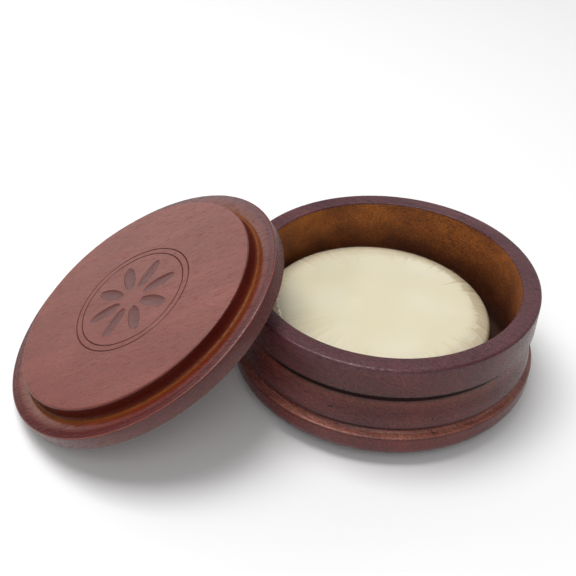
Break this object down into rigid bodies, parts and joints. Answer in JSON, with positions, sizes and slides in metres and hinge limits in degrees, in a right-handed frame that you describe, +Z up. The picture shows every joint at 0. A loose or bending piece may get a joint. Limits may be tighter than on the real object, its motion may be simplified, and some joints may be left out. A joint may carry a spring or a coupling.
{
  "type": "shaving bowl",
  "caption": "Turned wooden shaving bowl with banded sides, a loose stepped lid leaning on its rim, and a round puck of shaving soap in clear wrap lying inside.",
  "frame": {"origin": "middle of the flat foot under the bowl, on the table", "axes": "+Z up along the bowl's axis; the lid leans out towards -X and a little towards -Y; the front of the arrangement faces -Y"},
  "size_m": [0.1775, 0.129, 0.0572],
  "materials": {
    "bowl_wood": "dark mahogany stain, satin lacquer",
    "lid_wood": "mahogany stain, satin lacquer",
    "soap": "smooth cream soap",
    "wrap": "clear shrink film, glossy, creased at the edge"
  },
  "bodies": {
    "bowl": {"bowl": "bowl_wood"},
    "lid": {"lid": "lid_wood"},
    "soap": {"soap_puck": "soap", "soap_wrap": "wrap"}
  },
  "joints": [
    {"name": "lid_lift", "type": "slide", "parent": "bowl", "child": "lid", "axis": [-0.4749, -0.1766, 0.8621], "range_m": [0, 0.09]},
    {"name": "soap_lift", "type": "slide", "parent": "bowl", "child": "soap", "axis": [0.2394, 0.089, 0.9668], "range_m": [0, 0.06]}
  ]
}
